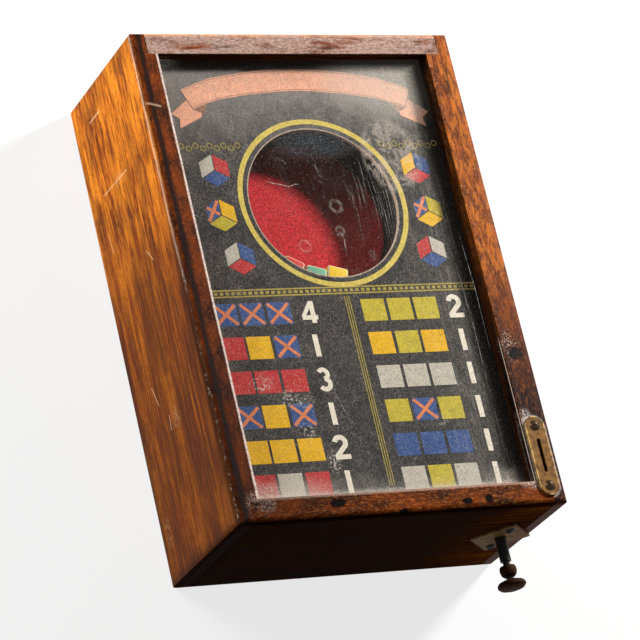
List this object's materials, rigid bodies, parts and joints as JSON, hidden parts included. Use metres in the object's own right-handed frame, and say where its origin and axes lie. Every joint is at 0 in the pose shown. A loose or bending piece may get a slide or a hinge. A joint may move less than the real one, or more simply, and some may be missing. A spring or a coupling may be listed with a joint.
{
  "type": "trade stimulator",
  "caption": "Wooden counter game box with glass front, award card, round window over dice on a motor-spun felt disc, coin slot and push plunger.",
  "frame": {"origin": "middle of the cabinet's back face, on which it lies", "axes": "+Z out of the glass front, +Y towards the end away from the plunger, +X towards the coin slot's side"},
  "size_m": [0.203, 0.3275, 0.1002],
  "materials": {
    "mahogany": "varnished mahogany, worn",
    "inner_wood": "bare softwood and plywood",
    "glass": "old clear window glass",
    "card": "printed pasteboard, matt",
    "black_tin": "black painted tinplate",
    "felt": "red wool felt",
    "brass": "aged brass",
    "dark_brass": "brown aged brass",
    "steel": "plain mild steel",
    "black_steel": "blackened steel",
    "iron": "laminated iron",
    "copper": "enamelled copper wire",
    "fibre": "red vulcanised fibre",
    "die_red": "white die with red faces",
    "die_green": "white die with green faces",
    "die_yellow": "white die with yellow faces",
    "cell_jacket": "card jacket of a dry cell",
    "cloth_lead": "cotton-covered wire",
    "leather": "leather washer"
  },
  "bodies": {
    "cabinet": {"left_side": "mahogany", "right_side": "mahogany", "plunger_end": "mahogany", "far_end": "mahogany", "glass_strip": "mahogany", "strip_pins": "steel", "back_panel": "inner_wood", "back_battens": "inner_wood", "back_screws": "dark_brass", "glass_pane": "glass", "award_card": "card", "card_battens": "inner_wood", "shelf_board": "inner_wood", "shelf_cleats": "inner_wood", "shelf_screws": "steel", "dice_cup": "black_tin", "inner_screws": "dark_brass", "field_ring": "iron", "field_coils": "copper", "upper_end_plate": "steel", "lower_end_plate": "steel", "motor_bearings": "brass", "motor_bolts": "steel", "motor_spacers": "steel", "brush_blocks": "fibre", "brushes": "brass", "battery_holder": "steel", "battery_contacts": "brass", "dry_cells": "cell_jacket", "leads": "cloth_lead", "coin_plate": "brass", "coin_plate_screws": "dark_brass", "coin_chute": "steel", "cash_tray": "steel", "plunger_guard": "brass", "guard_screws": "dark_brass", "buffer_washer": "leather", "return_spring": "steel", "guide_bracket": "steel", "switch_block": "fibre", "switch_leaves": "brass"},
    "plunger": {"coin_pusher": "brass", "pusher_screw": "steel", "plunger_rod": "black_steel", "stop_nut": "dark_brass", "push_button": "dark_brass", "contact_bush": "fibre", "contact_ring": "brass"},
    "spinner": {"turntable": "black_tin", "felt_pad": "felt", "turntable_hub": "brass", "hub_set_screw": "steel", "motor_shaft": "steel", "armature_core": "iron", "armature_winding": "copper", "commutator_core": "fibre", "commutator": "copper"},
    "red_die": {"die_red": "die_red"},
    "green_die": {"die_green": "die_green"},
    "yellow_die": {"die_yellow": "die_yellow"}
  },
  "joints": [
    {"name": "plunger_slide", "type": "slide", "parent": "cabinet", "child": "plunger", "axis": [0, 1, 0], "range_m": [0, 0.0165], "stiffness_N_per_m": 180, "springref_m": -0.012, "deforming": ["return_spring"]},
    {"name": "spinner_turn", "type": "hinge", "parent": "cabinet", "child": "spinner", "pos_m": [0, 0.0443, 0.03], "axis": [0, 0, 1], "continuous": true},
    {"name": "red_die_hop", "type": "slide", "parent": "spinner", "child": "red_die", "axis": [0, 0, 1], "range_m": [0, 0.009]},
    {"name": "green_die_hop", "type": "slide", "parent": "spinner", "child": "green_die", "axis": [0, 0, 1], "range_m": [0, 0.009]},
    {"name": "yellow_die_hop", "type": "slide", "parent": "spinner", "child": "yellow_die", "axis": [0, 0, 1], "range_m": [0, 0.009]}
  ]
}
